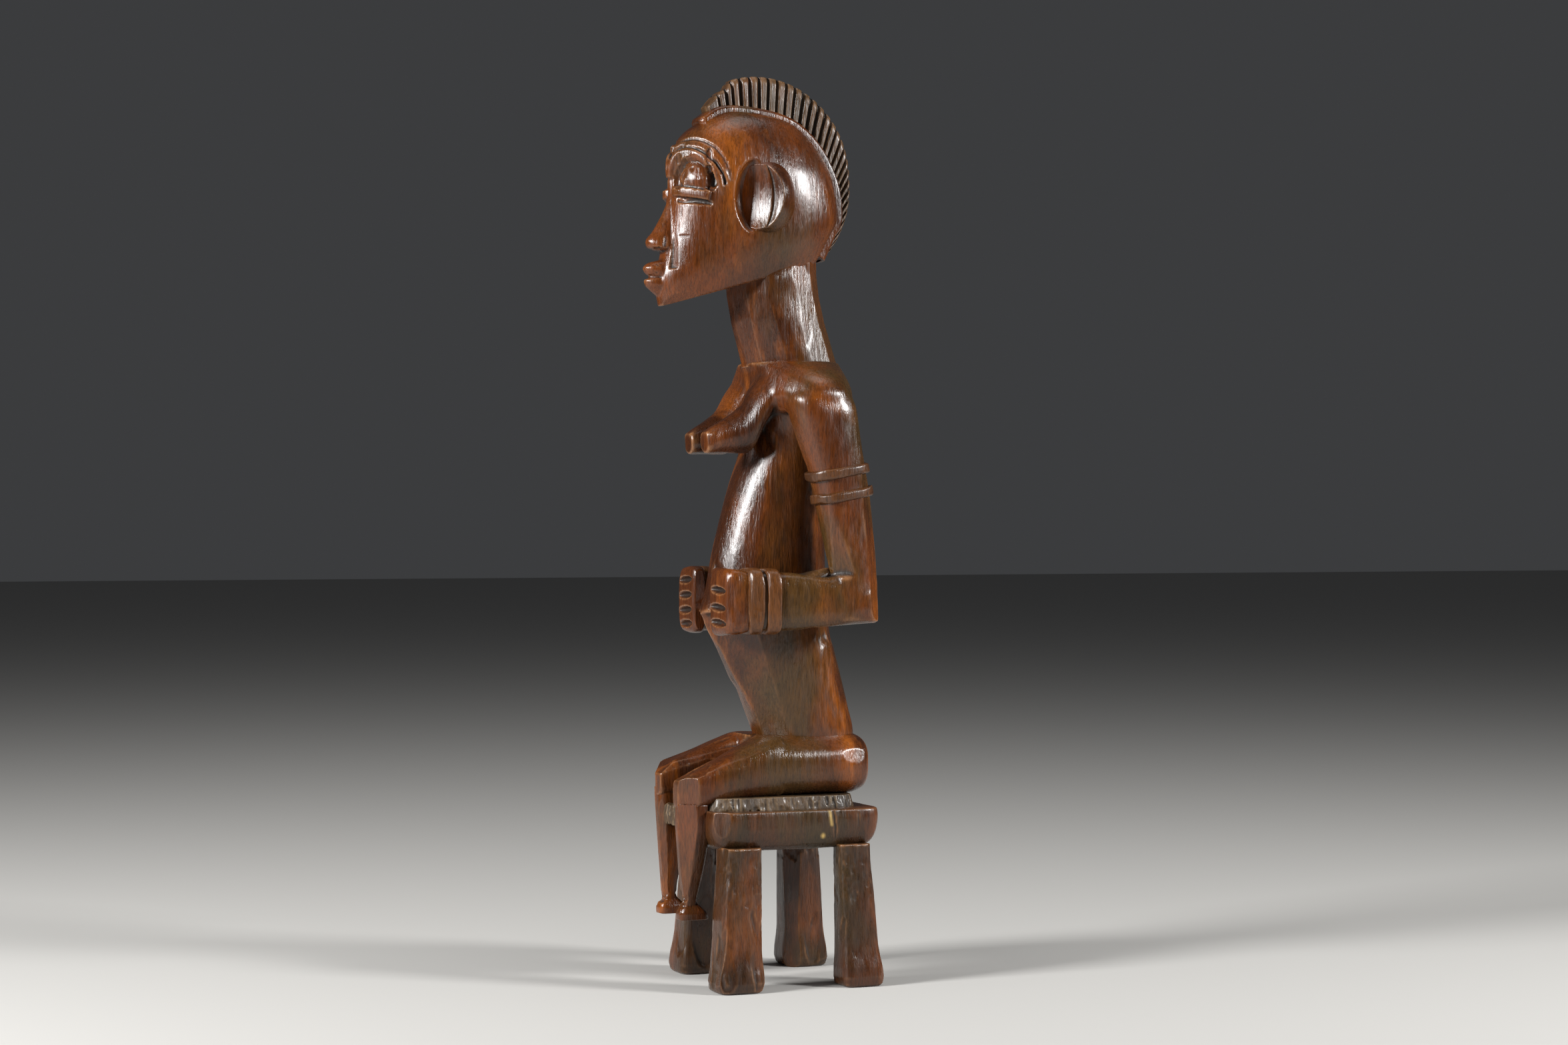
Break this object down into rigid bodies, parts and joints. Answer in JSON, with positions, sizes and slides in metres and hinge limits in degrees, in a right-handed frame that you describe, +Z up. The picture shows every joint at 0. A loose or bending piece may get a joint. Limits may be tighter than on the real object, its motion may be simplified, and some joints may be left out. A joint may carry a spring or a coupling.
{
  "type": "carved ancestor figure",
  "caption": "Seated wooden female ancestor figure on a four-legged stool, hands on the belly, with a tall combed hair crest.",
  "frame": {"origin": "floor under the middle of the figure's bounding box", "axes": "+Z up, the figure faces -Y, its left hand is at +X"},
  "size_m": [0.1488, 0.151, 0.6],
  "materials": {
    "figure_wood": "dark reddish-brown oiled and handled wood with a glossy patina",
    "stool_wood": "dark brown oiled wood, glossy, with worn edges",
    "rough_wood": "duller wood left with short chisel marks",
    "hair_wood": "dark brown wood with comb-like cuts, worn light along the ridges",
    "ring_wood": "brown wood with worn, lighter edges"
  },
  "bodies": {
    "root": {"stool_leg_front_left": "stool_wood", "stool_leg_front_right": "stool_wood", "stool_leg_back_left": "stool_wood", "stool_leg_back_right": "stool_wood", "stool_seat": "stool_wood", "seat_block": "rough_wood", "hips": "figure_wood", "left_thigh": "figure_wood", "right_thigh": "figure_wood", "left_shin": "figure_wood", "right_shin": "figure_wood", "left_foot": "figure_wood", "right_foot": "figure_wood", "calf_bridge": "rough_wood", "torso": "figure_wood", "shoulders": "figure_wood", "left_breast": "figure_wood", "right_breast": "figure_wood", "left_upper_arm": "figure_wood", "right_upper_arm": "figure_wood", "left_armlet_upper": "ring_wood", "right_armlet_upper": "ring_wood", "left_armlet_lower": "ring_wood", "right_armlet_lower": "ring_wood", "left_forearm": "figure_wood", "right_forearm": "figure_wood", "left_bracelet_rear": "ring_wood", "right_bracelet_rear": "ring_wood", "left_bracelet_front": "ring_wood", "right_bracelet_front": "ring_wood", "left_hand": "figure_wood", "right_hand": "figure_wood", "neck": "figure_wood", "head": "figure_wood", "nose": "figure_wood", "mouth": "figure_wood", "left_ear": "figure_wood", "right_ear": "figure_wood", "hairline_band": "hair_wood", "hair_crest": "hair_wood"}
  },
  "joints": []
}
